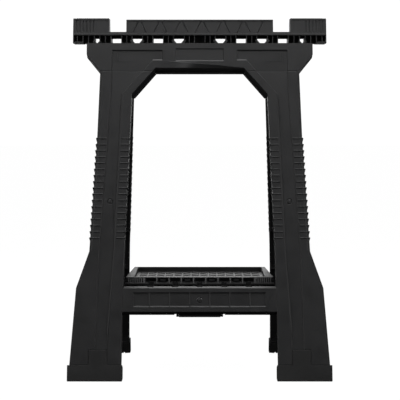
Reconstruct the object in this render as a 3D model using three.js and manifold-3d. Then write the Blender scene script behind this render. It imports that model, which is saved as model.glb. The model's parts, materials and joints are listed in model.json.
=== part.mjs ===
// Folding sawhorse with two hinged A-frames and a fold-up tool tray.
// Millimetres, +Z up, floor at Z = 0, X along the rails, the front frame on the -Y side.
import * as THREE from 'three';
import { mergeVertices } from 'three/addons/utils/BufferGeometryUtils.js';
import Module from 'manifold-3d';

const wasm = await Module();
wasm.setup();

// ---------------------------------------------------------------- driving dimensions
const gap = 0.3;                 // play between pieces that touch
const wall = 2.6;                // moulded wall
const rib = 1.8;                 // moulded rib
const past = 2;                  // how far a cutter runs past the surface it opens

const lean = THREE.MathUtils.degToRad(16);   // each frame against the vertical, standing open
const hingeHeight = 764;         // hinge axis above the floor
const frameThickness = 30;       // one frame, front to back
const foldPlay = 0.8;            // hinge axis to the inner face of each frame
const openPlay = 0.6;            // hinge axis plane to the rails' meeting faces

const railLength = 579;
const railRise = 38;             // tops of the rail's end pads above the hinge axis
const padRise = 2.6;             // end pads above the rail between the notches
const railDrop = 28;             // rail bottom below the hinge axis, along the frame
const railEndDrop = 19.5;        // level bottom of the rail's ends below the hinge axis
const notchWidth = 39;           // takes a 38 mm board on edge
const notchDepth = 31;
const notchCentre = 187.4;       // notch centre from the middle of the rail

const bayPitch = 47.6;           // one see-through bay and the two closed ones beside it
const bayHalf = 12.2;            // rib to the middle of a see-through bay
const bayRows = 4;               // see-through bays on each side of the middle
const endRibPitch = 12.8;
const endRibs = 6;
const bayRoof = 2.5;             // top of the bays above the hinge axis
const bayDepth = 17;             // bays into the rail's front
const coreDrop = 7.6;            // material kept below the hinge axis over an open bay
const cellFloor = 13;            // bottom of the rail's inner cells above the hinge axis

const rodRadius = 4;
const knuckleWall = 3.2;         // round the rod
const knucklePlay = 0.5;         // round a knuckle, in the other rail
const capWall = 3;               // hinge cap past the rod, all round
const capLength = 5;
const capInset = 1.5;            // hinge cap below the rail's end

const shoulderHalf = 257.8;      // yoke half width at its top
const shoulderDrop = 55;         // where the shoulder starts to slope in
const jointHalf = 226.3;         // yoke and leg half width at their joint
const jointDrop = 95;            // joint of yoke and legs below the axis, along the frame
const openingHalf = 101.2;       // flat top of the opening, half width
const openingDrop = 88;
const cornerHalf = 153.7;        // where the opening's chamfer meets the leg
const cornerDrop = 149;
const plateHalf = 54.4;          // blank name plate on the yoke
const plateTop = 42;
const plateBottom = 70.5;
const plateDepth = 1.5;
const channelDepth = 2.5;        // sunk channel down the front of yoke, legs and crossbar
const channelTop = 45;           // its upper end on the yoke
const channelStart = 85;         // its inner end on the yoke, from the middle
const channelStep = 107;         // end of its level part
const channelStepDrop = 69;
const channelBend = 176;         // channel's inner edge level with the opening's corner
const channelFlare = 190.4;      // and where the foot starts to flare
const channelOuterTop = 199.4;   // channel's outer edge, from the top down
const channelOuterBend = 201;
const channelOuterFlare = 224;
const channelOuterEnd = 229.5;

const gripOuter = 231.2;         // leg edges at the top of the grip stretch
const gripInner = 158;
const gripDrop = 254;
const flareOuter = 245.3;        // leg edges where the foot starts to flare
const flareInner = 168;
const flareHeight = 279;         // heights above the floor, on the outer face
const ankleOuter = 273.5;
const ankleInner = 170;
const ankleHeight = 199.5;
const footOuter = 285.6;
const footInner = 172.2;

const bootHeight = 34.6;
const bootOutward = 4.8;         // boot past the leg's outer edge
const bootInward = 2.8;          // and past its inner edge
const bootProud = 1.2;           // boot in front of the leg
const bootWall = 5;
const bootSocket = 15;
const tongueHalf = 20.2;         // tongue of the boot up the leg's channel
const tongueMiddle = 223.3;
const tongueRise = 34;

const crossbarTop = 199.2;       // above the floor, on the outer face
const crossbarHeight = 53.2;      // along the frame
const crossbarCrown = 1.2;       // rise of the front crossbar's top, front to back
const crossbarRecessHalf = 146;
const crossbarRecessTop = 10;    // recess below the crossbar's top
const crossbarRecessBottom = 11.4;   // and above its bottom
const crossbarRibPitch = 44.4;
const tenonLength = 14;
const tenonHeight = 32;
const tenonInset = 6;            // tenon from the frame's front and back faces

const plugRadius = 6.1;
const plugDrop = 399;            // leg plug below the axis, along the frame
const plugMiddle = 200.5;
const plugThickness = 5;
const pipRadius = 2.4;
const pipRise = 0.6;
const pipRoot = 1;               // pip into its plug
const crownRoot = 1;             // crown into the crossbar

const shelfAxisBack = 7.15;      // tray hinge axis in from the hinge plane
const shelfAxisSink = 1.1;       // and below the crossbar's top
const shelfRodRadius = 2.5;
const shelfKnuckleWall = 3;
const shelfKnuckleWidth = 12;
const shelfKnucklePitch = 54.8;
const shelfBarrelHalf = 140;
const shelfNear = 42;            // tray's near edge from its hinge axis
const shelfWall = 60;            // tray's near wall from its hinge axis
const shelfFarPlay = 8.1;        // tray's far end to the rear frame's matching line
const shelfSidePlay = 1.6;       // tray to the legs' inner edges when folded
const shelfBottom = -2;          // heights above the tray's hinge axis
const ledgeTop = 12.2;
const ledgeThickness = 3.7;
const trayFloor = 13;
const trayRim = 24.4;
const rimWidth = 6;
const wellHalf = 148;            // tray's well, half width
const trayFloorThickness = 2.2;
const armTop = 4.5;
const nearWallDepth = 14;
const pocketPitch = 27.6;
const pocketWidth = 22;
const pocketCount = 9;
const lipLength = 21;
const lipThickness = 4;
const lipHalf = 140;

const latchHalf = 46.3;
const latchAxisBack = 6;         // latch pin in from the hinge plane
const latchAxisSink = 3.6;       // and below the crossbar
const latchPinRadius = 1.6;
const latchWall = 1.6;            // round the latch pin
const latchReach = 16;           // latch pin to the end of the hook
const latchPlate = 3;
const toothHalf = 15;
const toothThickness = 4;
const toothPast = 0.6;           // tooth above the flange it catches
const toothPlay = 2;             // round the tooth, in its slot

// ---------------------------------------------------------------- derived places
const sinLean = Math.sin(lean);
const cosLean = Math.cos(lean);
const backY = -foldPlay;                              // inner face of a frame
const frontY = -(foldPlay + frameThickness);          // outer face of a frame
const wallY = frontY + channelDepth + wall;           // inside of the front wall
const plugSeat = frontY + channelDepth + plugThickness + 2 * gap;   // end of a plug's hole
const dropAt = (height, y = frontY) => -(hingeHeight - y * sinLean - height) / cosLean;
const legEnd = dropAt(bootHeight);
const barTop = dropAt(crossbarTop);
const barBottom = barTop - crossbarHeight;
const flareDrop = dropAt(flareHeight);
const ankleDrop = dropAt(ankleHeight);
const knuckleRadius = rodRadius + knuckleWall;
const capRadius = rodRadius + capWall;
const bootOuter = footOuter + bootOutward;
const bootInner = footInner - bootInward;
const shelfKnuckleRadius = shelfRodRadius + shelfKnuckleWall;
const latchRadius = latchPinRadius + latchWall;

// Leg edges, from the joint with the yoke down to the boot, as [x, z] in the frame's plane.
const slopeAt = (z, [x0, z0], [x1, z1]) => x0 + (x1 - x0) * (z - z0) / (z1 - z0);
const chamferX = slopeAt(-jointDrop, [openingHalf, -openingDrop], [cornerHalf, -cornerDrop]);
const innerEdge = [
  [chamferX, -jointDrop], [cornerHalf, -cornerDrop], [gripInner, -gripDrop],
  [flareInner, flareDrop], [ankleInner, ankleDrop], [footInner, legEnd],
];
const outerEdge = [
  [jointHalf, -jointDrop], [gripOuter, -gripDrop], [flareOuter, flareDrop],
  [ankleOuter, ankleDrop], [footOuter, legEnd],
];
const channelInner = [
  [channelStart, -channelTop], [channelStart, -channelStepDrop], [channelStep, -channelStepDrop],
  [channelBend, -cornerDrop], [channelFlare, flareDrop],
  [tongueMiddle - tongueHalf, legEnd + tongueRise],
];
const channelOuter = [
  [channelOuterTop, -channelTop], [channelOuterBend, -cornerDrop], [channelOuterFlare, flareDrop],
  [channelOuterEnd, legEnd + tongueRise],
];

// ---------------------------------------------------------------- helpers
function edgeAt(edge, z) {
  const next = Math.max(1, edge.findIndex((point) => point[1] <= z));
  return slopeAt(z, edge[next - 1], edge[next]);
}

// The part of a stretch between two edges that lies between two levels, kept `inset` inside them.
function stretch(inner, outer, high, low, inset = 0) {
  const corners = (edge, shift) => [high, ...edge.map((point) => point[1]), low]
    .filter((z) => z <= high && z >= low)
    .map((z) => [edgeAt(edge, z) + shift, z])
    .filter((point, index, all) => index === 0 || point[1] !== all[index - 1][1]);
  return [...corners(inner, inset), ...corners(outer, -inset).reverse()];
}

function solid(geometry) {
  geometry.deleteAttribute('normal');
  geometry.deleteAttribute('uv');
  const merged = mergeVertices(geometry, 1e-4);
  return new wasm.Manifold(new wasm.Mesh({
    numProp: 3,
    vertProperties: new Float32Array(merged.attributes.position.array),
    triVerts: new Uint32Array(merged.index.array),
  }));
}

function box(x0, x1, y0, y1, z0, z1) {
  const geometry = new THREE.BoxGeometry(Math.abs(x1 - x0), y1 - y0, z1 - z0);
  return solid(geometry.translate((x0 + x1) / 2, (y0 + y1) / 2, (z0 + z1) / 2));
}

const shapeOf = (points) => new THREE.Shape(points.map(([a, b]) => new THREE.Vector2(a, b)));
const extrude = (points, depth) => new THREE.ExtrudeGeometry(shapeOf(points),
  { depth, bevelEnabled: false, steps: 1 });

// A plate with the outline [x, z], from the level y0 (front) to y1 (back). side = -1 mirrors it.
function plate(points, y0, y1, side = 1) {
  const outline = points.map(([x, z]) => [x * side, z]);
  const turn = new THREE.Matrix4().makeRotationX(Math.PI / 2);
  return solid(extrude(outline, y1 - y0).applyMatrix4(turn).translate(0, y1, 0));
}

// A bar with the section [y, z], running along X.
function bar(points, x0, x1) {
  const turn = new THREE.Matrix4().makeBasis(new THREE.Vector3(0, 1, 0),
    new THREE.Vector3(0, 0, 1), new THREE.Vector3(1, 0, 0));
  return solid(extrude(points, x1 - x0).applyMatrix4(turn).translate(x0, 0, 0));
}

// A slab with the outline [x, y], from z0 up to z1.
const slab = (points, z0, z1) => solid(extrude(points, z1 - z0).translate(0, 0, z0));

function rodX(radius, x0, x1, y, z, sides = 20) {
  const geometry = new THREE.CylinderGeometry(radius, radius, x1 - x0, sides);
  return solid(geometry.rotateZ(Math.PI / 2).translate((x0 + x1) / 2, y, z));
}

function rodY(radius, y0, y1, x, z, sides = 20) {
  const geometry = new THREE.CylinderGeometry(radius, radius, y1 - y0, sides);
  return solid(geometry.translate(0, (y0 + y1) / 2, 0).translate(x, 0, z));
}

const join = (first, ...rest) => rest.reduce((whole, piece) => whole.add(piece), first);
const cut = (first, ...rest) => rest.reduce((whole, piece) => whole.subtract(piece), first);
const both = (build) => [-1, 1].flatMap((side) => build(side));

function mesh(name, body, material) {
  const { vertProperties, triVerts } = body.getMesh();
  const geometry = new THREE.BufferGeometry();
  geometry.setAttribute('position', new THREE.BufferAttribute(new Float32Array(vertProperties), 3));
  geometry.setIndex(new THREE.BufferAttribute(new Uint32Array(triVerts), 1));
  geometry.computeVertexNormals();
  const piece = new THREE.Mesh(geometry, material.clone());
  piece.name = name;
  return piece;
}

// ---------------------------------------------------------------- materials
const plastic = new THREE.MeshStandardMaterial({ color: 0x29292a, roughness: 0.6, metalness: 0 });
const rubber = new THREE.MeshStandardMaterial({ color: 0x202021, roughness: 0.85, metalness: 0 });
const steel = new THREE.MeshStandardMaterial({ color: 0x6b6d70, roughness: 0.4, metalness: 1 });

// ---------------------------------------------------------------- rails
// Knuckles of the two rails take turns along the axis and stay out of the board notches.
const notchNear = notchCentre - notchWidth / 2;
const notchFar = notchCentre + notchWidth / 2;
const capEnd = railLength / 2 - capInset;
const capStart = capEnd - capLength;
const endKnuckle = (notchFar + rib + capStart - rib) / 2;
const firstKnuckles = [
  [-bayPitch / 2, bayPitch / 2],
  ...both((side) => [[side * bayPitch * 1.5, side * bayPitch * 2.5]]),
  ...both((side) => [[side * (notchFar + rib), side * endKnuckle]]),
].map((span) => span.sort((a, b) => a - b));
const secondKnuckles = [
  ...both((side) => [[side * bayPitch / 2, side * bayPitch * 1.5]]),
  ...both((side) => [[side * bayPitch * 2.5, side * (notchNear - rib)]]),
  ...both((side) => [[side * endKnuckle, side * (capStart - rib)]]),
].map((span) => span.sort((a, b) => a - b));

const bayRibs = [];
for (let row = 0; row <= bayRows; row += 1) {
  bayRibs.push(row * bayPitch - bayHalf, row * bayPitch + bayHalf, (row + 0.5) * bayPitch);
}
const lastBay = bayRows * bayPitch + bayHalf;
const ribPlaces = bayRibs.filter((x) => x > 0 && x <= lastBay).sort((a, b) => a - b);
for (let index = 1; index <= endRibs; index += 1) {
  ribPlaces.push(lastBay + index * endRibPitch);
}
ribPlaces.push(railLength / 2 - wall + rib / 2);   // one more bay up to the rail's end wall
const openBays = ribPlaces.flatMap((x, index) => {
  const next = ribPlaces[index + 1];
  const isRowBay = Math.abs((x + bayHalf) / bayPitch - Math.round((x + bayHalf) / bayPitch)) < 0.01
    && x < lastBay;
  const isEndBay = Math.abs(x - (lastBay + 2 * endRibPitch)) < 0.01;
  return next && (isRowBay || isEndBay) ? [[x, next]] : [];
});

// Frame coordinates turned to the standing pose, measured from the hinge axis.
const standing = (y, z) => [y * cosLean + z * sinLean, -y * sinLean + z * cosLean];

function railSolid(own, other) {
  const frontTop = (railRise + frontY * sinLean) / cosLean;
  const section = [
    standing(frontY, -railDrop + gap), standing(backY, -railDrop + gap),
    standing(backY, 0), [-openPlay, foldPlay],
    [-openPlay, railRise], standing(frontY, frontTop),
  ];
  const half = railLength / 2;
  let body = bar(section, -half, half);
  const low = -railDrop - frameThickness;
  const innermost = frontY * cosLean - railDrop;
  const bayBack = frontY * cosLean + bayDepth;
  const bays = [[-ribPlaces[0], ribPlaces[0]]];
  ribPlaces.slice(0, -1).forEach((x, index) => {
    bays.push([x, ribPlaces[index + 1]], [-ribPlaces[index + 1], -x]);
  });
  const endFloor = standing(frontY, -railDrop)[1] + wall;   // end bays past the yoke keep a floor
  for (const [x0, x1] of bays) {
    const isEnd = Math.min(Math.abs(x0), Math.abs(x1)) > shoulderHalf - rib;
    body = cut(body, box(x0 + rib / 2, x1 - rib / 2, innermost, bayBack,
      isEnd ? endFloor : low, bayRoof));
  }
  for (const [x0, x1] of openBays) {
    body = cut(body, ...both((side) => [box(side * (x0 + rib / 2), side * (x1 - rib / 2),
      innermost, past, low, -coreDrop)]));
  }
  for (const [x0, x1] of other) {
    body = cut(body, rodX(knuckleRadius + knucklePlay, x0, x1, 0, 0));
  }
  for (const [x0, x1] of own) {
    body = join(body, rodX(knuckleRadius, x0 + gap / 2, x1 - gap / 2, 0, 0));
  }
  // Inner cells lighten the rail above the hinge.
  const cellFront = standing(frontY, frontTop)[0] + wall;
  const middleCells = 6;
  const cellPitch = 2 * (notchNear - wall) / middleCells;
  for (let index = 0; index < middleCells; index += 1) {
    const x = -notchNear + wall + index * cellPitch;
    body = cut(body, box(x + rib / 2, x + cellPitch - rib / 2, cellFront, past,
      cellFloor, railRise - padRise - wall));
  }
  body = cut(body, ...both((side) => [box(side * (notchFar + wall), side * (half - wall),
    cellFront, past, cellFloor, railRise - wall)]));
  body = cut(body, ...both((side) => [box(side * notchNear, side * notchFar,
    innermost, knuckleRadius + past, railRise - notchDepth, railRise + past)]));
  body = cut(body, rodX(rodRadius + gap, -capStart - past, capStart + past, 0, 0, 16));
  body = cut(body, box(-notchNear - past, notchNear + past, innermost, past,
    railRise - padRise, railRise + past));
  const endStart = shoulderHalf + gap;
  return cut(body, ...both((side) => {
    const ends = [side * (capStart - gap), side * (half + past)].sort((a, b) => a - b);
    return [
      rodX(capRadius + gap, ends[0], ends[1], 0, 0, 16),
      box(side * endStart, side * (half + past), innermost, past, low, -railEndDrop),
    ];
  }));
}

// ---------------------------------------------------------------- yoke
const yokeCellOuter = [[shoulderHalf, -railDrop], [shoulderHalf, -shoulderDrop],
  [jointHalf, -jointDrop]];

function yokeSolid() {
  const halfOutline = [
    [shoulderHalf, -railDrop], [shoulderHalf, -shoulderDrop], [jointHalf, -jointDrop],
    [chamferX, -jointDrop], [openingHalf, -openingDrop],
  ];
  const outline = [...halfOutline, ...halfOutline.map(([x, z]) => [-x, z]).reverse()];
  let body = plate(outline, frontY, backY);
  // Cells open to the inside of the frame.
  const cellTop = -railDrop - wall;
  const cellsPerSide = 2;
  const cellWidth = (openingHalf - wall) / cellsPerSide;
  body = cut(body, ...both((side) => {
    const cells = [];
    for (let index = 0; index < cellsPerSide; index += 1) {
      const x = index * cellWidth;
      cells.push(box(side * (x + rib / 2), side * (x + cellWidth - rib / 2), wallY, backY + past,
        -openingDrop + wall, cellTop));
    }
    const corner = jointDrop - past;
    cells.push(plate([
      [chamferX + wall, cellTop], [shoulderHalf - wall, cellTop],
      [shoulderHalf - wall, -shoulderDrop],
      [edgeAt(yokeCellOuter, -corner) - wall, -corner],
      [jointHalf - wall - past, -jointDrop - past],
      [chamferX + wall, -jointDrop - past],
    ], wallY, backY + past, side));
    return cells;
  }));
  // Sunk channel and blank plate on the front.
  body = cut(body, ...both((side) => [plate([
    [channelStart, -channelTop], [channelOuter[0][0], -channelTop],
    [edgeAt(channelOuter, -jointDrop), -jointDrop],
    [edgeAt(channelOuter, -jointDrop), -jointDrop - past],
    [slopeAt(-jointDrop, channelInner[2], channelInner[3]), -jointDrop - past],
    [slopeAt(-jointDrop, channelInner[2], channelInner[3]), -jointDrop],
    channelInner[2], channelInner[1],
  ], frontY - past, frontY + channelDepth, side)]));
  return cut(body, box(-plateHalf, plateHalf, frontY - past, frontY + plateDepth,
    -plateBottom, -plateTop));
}

// ---------------------------------------------------------------- legs
const legCells = 7;
const spigotInset = bootWall + gap;

function legSolid(side) {
  const top = -jointDrop - gap;
  let body = plate(stretch(innerEdge, outerEdge, top, legEnd + gap), frontY, backY, side);
  // Tongue up into the yoke.
  const tongueTop = -channelTop - wall;
  const tongueInner = chamferX + wall + 2 * gap;
  const tongueOuter = jointHalf - wall - past - 2 * gap;
  const tongueBack = backY - gap;
  body = join(body, box(side * tongueInner, side * tongueOuter, wallY + gap, tongueBack,
    top - wall, tongueTop));
  body = cut(body, box(side * (tongueInner + wall), side * (tongueOuter - wall),
    wallY + gap + wall, backY + past, top - wall - past, tongueTop - wall));
  // Cells open to the inside of the frame, with a rib between each two.
  const cellHigh = top - wall;
  const cellLow = legEnd + wall;
  const cellPitch = (cellHigh - cellLow) / legCells;
  for (let index = 0; index < legCells; index += 1) {
    const high = cellHigh - index * cellPitch - rib / 2;
    const low = cellHigh - (index + 1) * cellPitch + rib / 2;
    body = cut(body, plate(stretch(innerEdge, outerEdge, high, low, wall),
      wallY, backY + past, side));
  }
  // Sunk channel, then the seat of the boot's tongue.
  body = cut(body, plate([
    ...stretch([[slopeAt(-jointDrop, channelInner[2], channelInner[3]), -jointDrop],
      ...channelInner.slice(3)], channelOuter, -jointDrop, legEnd + tongueRise),
  ], frontY - past, frontY + channelDepth, side));
  body = cut(body, box(side * (tongueMiddle - tongueHalf - gap), side * (tongueMiddle + tongueHalf + gap),
    frontY - past, frontY + channelDepth + gap, legEnd - past, legEnd + tongueRise + gap));
  // Spigot down into the boot.
  const spigotLow = legEnd - bootSocket + gap;
  body = join(body, box(side * (bootInner + spigotInset), side * (bootOuter - spigotInset - bootWall),
    frontY + channelDepth + 2 * gap + wall, backY - spigotInset, spigotLow, legEnd + wall));
  body = cut(body, box(side * (bootInner + spigotInset + wall),
    side * (bootOuter - spigotInset - bootWall - wall),
    frontY + channelDepth + 2 * gap + 2 * wall, backY - spigotInset - wall,
    spigotLow - past, legEnd));
  // Round seat of the plug, and the mortise of the crossbar's tenon.
  const mortiseMiddle = barTop - crossbarHeight / 2;
  body = cut(body, rodY(plugRadius + gap, frontY - past, plugSeat, side * plugMiddle, -plugDrop));
  return cut(body, box(side * (ankleInner - wall), side * (ankleInner + tenonLength + wall),
    frontY + tenonInset - gap, backY - tenonInset + gap,
    mortiseMiddle - tenonHeight / 2 - gap, mortiseMiddle + tenonHeight / 2 + gap));
}

// ---------------------------------------------------------------- boots
function bootSolid(side) {
  const bootFront = frontY - bootProud;
  const deep = dropAt(0, bootFront) - past;
  let body = box(side * bootInner, side * bootOuter, bootFront, backY, deep, legEnd);
  body = join(body, box(side * (tongueMiddle - tongueHalf), side * (tongueMiddle + tongueHalf),
    bootFront, frontY + channelDepth, legEnd - wall, legEnd + tongueRise));
  body = cut(body, box(side * (bootInner + bootWall), side * (bootOuter - 2 * bootWall),
    frontY + channelDepth + gap + wall, backY - bootWall, legEnd - bootSocket, legEnd + past));
  // The sole is level when the sawhorse stands open.
  const floorBox = new THREE.BoxGeometry(4 * footOuter, 8 * frameThickness, frameThickness);
  floorBox.translate(0, dropAt(0) * sinLean, -hingeHeight - frameThickness / 2);
  return cut(body, solid(floorBox.rotateX(lean)));
}

// ---------------------------------------------------------------- crossbars
const shelfAxis = [-shelfAxisBack, barTop - shelfAxisSink];   // y, z in the frame
const latchAxis = [-latchAxisBack, barBottom - latchAxisSink];
const shelfFar = -2 * standing(...shelfAxis)[0] - shelfFarPlay;   // from the tray's hinge axis
const shelfKnuckles = [-2, -1, 0, 1, 2].map((index) => index * shelfKnucklePitch);
const shelfSlotReach = shelfKnuckleRadius + 2;   // room round a tray knuckle in the crossbar
const barCells = 4;

function crossbarSolid(isFront) {
  const endAt = (z) => edgeAt(innerEdge, z) - gap;
  const half = [[endAt(barTop), barTop], [endAt(barBottom), barBottom]];
  const outline = [...half, ...half.map(([x, z]) => [-x, z]).reverse()];
  let body = plate(outline, frontY, backY);
  const middle = barTop - crossbarHeight / 2;
  const tenonStart = ankleInner - 2 * wall;
  body = join(body, ...both((side) => [box(side * tenonStart, side * (ankleInner + tenonLength),
    frontY + tenonInset, backY - tenonInset, middle - tenonHeight / 2, middle + tenonHeight / 2)]));
  // Front recess with upright ribs.
  const recessTop = barTop - crossbarRecessTop;
  const recessBottom = barBottom + crossbarRecessBottom;
  let recess = box(-crossbarRecessHalf, crossbarRecessHalf, frontY - past, frontY + channelDepth,
    recessBottom, recessTop);
  recess = cut(recess, ...both((side) => [0.5, 1.5, 2.5].map((step) => {
    const x = side * step * crossbarRibPitch;
    return box(x - rib / 2, x + rib / 2, frontY, frontY + channelDepth, recessBottom, recessTop);
  })));
  body = cut(body, recess);
  // Cells open to the inside of the frame.
  const cellTop = barTop - wall - (isFront ? shelfSlotReach + shelfAxisSink : 0);
  const cellWidth = (tenonStart - wall) / barCells;
  body = cut(body, ...both((side) => {
    const cells = [];
    for (let index = 0; index < barCells; index += 1) {
      cells.push(box(side * (index * cellWidth + rib / 2), side * ((index + 1) * cellWidth - rib / 2),
        wallY, backY + past, barBottom + wall, cellTop));
    }
    return cells;
  }));
  body = cut(body, rodY(plugRadius + gap, frontY - past, plugSeat, 0, middle));
  if (!isFront) {
    // Slot in the bottom flange for the latch's tooth.
    const toothFar = latchReach - latchAxisBack;
    return cut(body, box(-toothHalf - toothPlay, toothHalf + toothPlay, -toothFar - toothPlay,
      -toothFar + toothThickness + toothPlay, barBottom - past, barBottom + wall + past));
  }
  // Hinge barrel of the tray along the top edge.
  const [shelfY, shelfZ] = shelfAxis;
  const crownHigh = standing(frontY, barTop)[1] + crossbarCrown;
  const crownAt = (y) => (crownHigh + y * sinLean) / cosLean;
  const crownHalf = edgeAt(innerEdge, crownAt(backY)) - 2 * gap;
  body = join(body, bar([[frontY, barTop - crownRoot], [backY, barTop - crownRoot],
    [backY, crownAt(backY)], [frontY, barTop]], -crownHalf, crownHalf));
  body = join(body, rodX(shelfKnuckleRadius, -shelfBarrelHalf, shelfBarrelHalf, shelfY, shelfZ));
  for (const x of shelfKnuckles) {
    const halfWidth = shelfKnuckleWidth / 2 + gap;
    body = cut(body, box(x - halfWidth, x + halfWidth, shelfY - shelfSlotReach, backY + past,
      shelfZ - shelfSlotReach, shelfZ + 2 * shelfSlotReach));
  }
  body = cut(body, rodX(shelfRodRadius + gap, -shelfBarrelHalf - past, shelfBarrelHalf + past,
    shelfY, shelfZ, 16));
  // Ears for the latch pin under the bottom flange.
  const [latchY, latchZ] = latchAxis;
  body = join(body, ...both((side) => {
    const x0 = side * (latchHalf + gap);
    const x1 = side * (latchHalf + gap + 2 * wall);
    const [low, high] = [x0, x1].sort((a, b) => a - b);
    return [
      rodX(latchRadius, low, high, latchY, latchZ),
      box(low, high, latchY - latchRadius, latchY + latchRadius, latchZ, barBottom + wall),
    ];
  }));
  const pinHole = latchHalf + 2 * wall + past;
  return cut(body, rodX(latchPinRadius + gap, -pinHole, pinHole, latchY, latchZ, 16));
}

// ---------------------------------------------------------------- small pieces
function plugSolid(x, z) {
  const seat = frontY + channelDepth;
  return join(rodY(plugRadius, seat + gap, seat + gap + plugThickness, x, z),
    rodY(pipRadius, seat + gap - pipRise, seat + gap + pipRoot, x, z));
}

// Latch: a hook on the pin, in its raised place under the crossbar.
function latchSolid() {
  const level = -latchPlate / 2;
  let body = join(
    rodX(latchRadius, -latchHalf, latchHalf, 0, 0),
    box(-latchHalf, latchHalf, 0, latchReach, level, level + latchPlate),
    box(-toothHalf, toothHalf, latchReach - toothThickness, latchReach, level,
      latchAxisSink + wall + toothPast),
  );
  body = cut(body, rodX(latchPinRadius + gap, -latchHalf - past, latchHalf + past, 0, 0, 16));
  return body;
}

// ---------------------------------------------------------------- tray
function traySolid() {
  // Tray coordinates: y from its hinge axis towards the far end, z up from that axis.
  const halfAt = (y) => edgeAt(innerEdge, shelfAxis[1] + y) - shelfSidePlay;
  const outline = (y0, y1) => [
    [-halfAt(y0), y0], [halfAt(y0), y0], [halfAt(y1), y1], [-halfAt(y1), y1],
  ];
  let body = slab(outline(shelfWall, shelfFar), shelfBottom, trayRim);
  body = join(body, slab(outline(shelfNear, shelfWall + wall), ledgeTop - ledgeThickness, ledgeTop));
  const wellNear = shelfWall + nearWallDepth;
  body = cut(body, box(-wellHalf, wellHalf, wellNear, shelfFar - rimWidth, trayFloor, trayRim + past));
  // Cells under the floor.
  const columns = 4;
  const rows = 4;
  const cellLength = (shelfFar - rimWidth - wellNear) / rows;
  for (let row = 0; row < rows; row += 1) {
    const y0 = wellNear + row * cellLength + rib / 2;
    const y1 = y0 + cellLength - rib;
    const half = halfAt(y1) - wall;
    const cellWidth = 2 * half / columns;
    for (let column = 0; column < columns; column += 1) {
      const x = -half + column * cellWidth;
      body = cut(body, box(x + rib / 2, x + cellWidth - rib / 2, y0, y1,
        shelfBottom - past, trayFloor - trayFloorThickness));
    }
  }
  // Small tool pockets along the near wall.
  for (let index = 0; index < pocketCount; index += 1) {
    const x = (index - (pocketCount - 1) / 2) * pocketPitch;
    body = cut(body, box(x - pocketWidth / 2, x + pocketWidth / 2, shelfWall - past,
      wellNear - wall, ledgeTop + rib, trayRim - wall));
  }
  // The ledge is notched over each knuckle.
  for (const x of shelfKnuckles) {
    body = cut(body, box(x - shelfKnuckleWidth / 2, x + shelfKnuckleWidth / 2, shelfNear - past,
      shelfWall + wall, armTop, ledgeTop + past + rib));
  }
  // Lip that rests on the rear crossbar.
  const [axisY, axisZ] = standing(...shelfAxis);
  const lipEnd = shelfFar + lipLength;
  const barTopAt = (barTop - (axisY + lipEnd) * -sinLean) / cosLean;
  const lipUnder = barTopAt - axisZ + gap;
  body = join(body, box(-lipHalf, lipHalf, shelfFar - wall, lipEnd, lipUnder, lipUnder + lipThickness));
  // Knuckles.
  for (const x of shelfKnuckles) {
    const halfWidth = shelfKnuckleWidth / 2 - gap;
    body = join(body,
      rodX(shelfKnuckleRadius, x - halfWidth, x + halfWidth, 0, 0),
      box(x - halfWidth, x + halfWidth, 0, shelfWall, shelfBottom - armTop / 2, armTop),
      box(x - halfWidth, x + halfWidth, shelfWall - past, shelfWall + wall, shelfBottom, armTop));
  }
  return cut(body, rodX(shelfRodRadius + gap, -shelfBarrelHalf, shelfBarrelHalf, 0, 0, 16));
}

// ---------------------------------------------------------------- assembly
const sideName = (side) => (side < 0 ? 'left' : 'right');

function frameGroup(prefix, turned) {
  const isFront = prefix === 'front';
  const frame = new THREE.Group();
  const rail = railSolid(isFront ? firstKnuckles : secondKnuckles,
    isFront ? secondKnuckles : firstKnuckles);
  frame.add(mesh(`${prefix}_rail`, rail, plastic));
  const leaning = new THREE.Group();
  leaning.rotation.x = -lean;
  leaning.add(mesh(`${prefix}_yoke`, yokeSolid(), plastic));
  leaning.add(mesh(`${prefix}_crossbar`, crossbarSolid(isFront), plastic));
  const middle = barTop - crossbarHeight / 2;
  leaning.add(mesh(`${prefix}_plug_middle`, plugSolid(0, middle), plastic));
  for (const side of [-1, 1]) {
    const name = sideName(turned ? -side : side);
    leaning.add(mesh(`${prefix}_leg_${name}`, legSolid(side), plastic));
    leaning.add(mesh(`${prefix}_boot_${name}`, bootSolid(side), rubber));
    leaning.add(mesh(`${prefix}_plug_${name}`, plugSolid(side * plugMiddle, -plugDrop), plastic));
  }
  if (isFront) {
    const shelfRod = rodX(shelfRodRadius, -shelfBarrelHalf + gap, shelfBarrelHalf - gap,
      shelfAxis[0], shelfAxis[1], 16);
    leaning.add(mesh('shelf_rod', shelfRod, steel));
    const pinEnd = latchHalf + 2 * wall;
    leaning.add(mesh('latch_pin', rodX(latchPinRadius, -pinEnd, pinEnd, ...latchAxis, 16), steel));
    const latch = mesh('closing_latch', latchSolid(), plastic);
    latch.position.set(0, latchAxis[0], latchAxis[1]);
    leaning.add(latch);
    const tray = mesh('shelf_tray', traySolid(), plastic);
    const trayPivot = new THREE.Group();
    trayPivot.position.set(0, shelfAxis[0], shelfAxis[1]);
    trayPivot.rotation.x = lean;
    trayPivot.add(tray);
    leaning.add(trayPivot);
  }
  frame.add(leaning);
  frame.position.z = hingeHeight;
  if (turned) {
    frame.rotation.z = Math.PI;
  }
  return frame;
}

const group = new THREE.Group();
group.add(frameGroup('front', false));
group.add(frameGroup('rear', true));

const hinge = new THREE.Group();
hinge.position.z = hingeHeight;
hinge.add(mesh('hinge_rod', rodX(rodRadius, -capStart + gap, capStart - gap, 0, 0, 16), steel));
for (const side of [-1, 1]) {
  const [low, high] = [side * capStart, side * capEnd].sort((a, b) => a - b);
  hinge.add(mesh(`hinge_cap_${sideName(side)}`, rodX(capRadius, low, high, 0, 0, 16), plastic));
}
group.add(hinge);

export default group;
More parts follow.
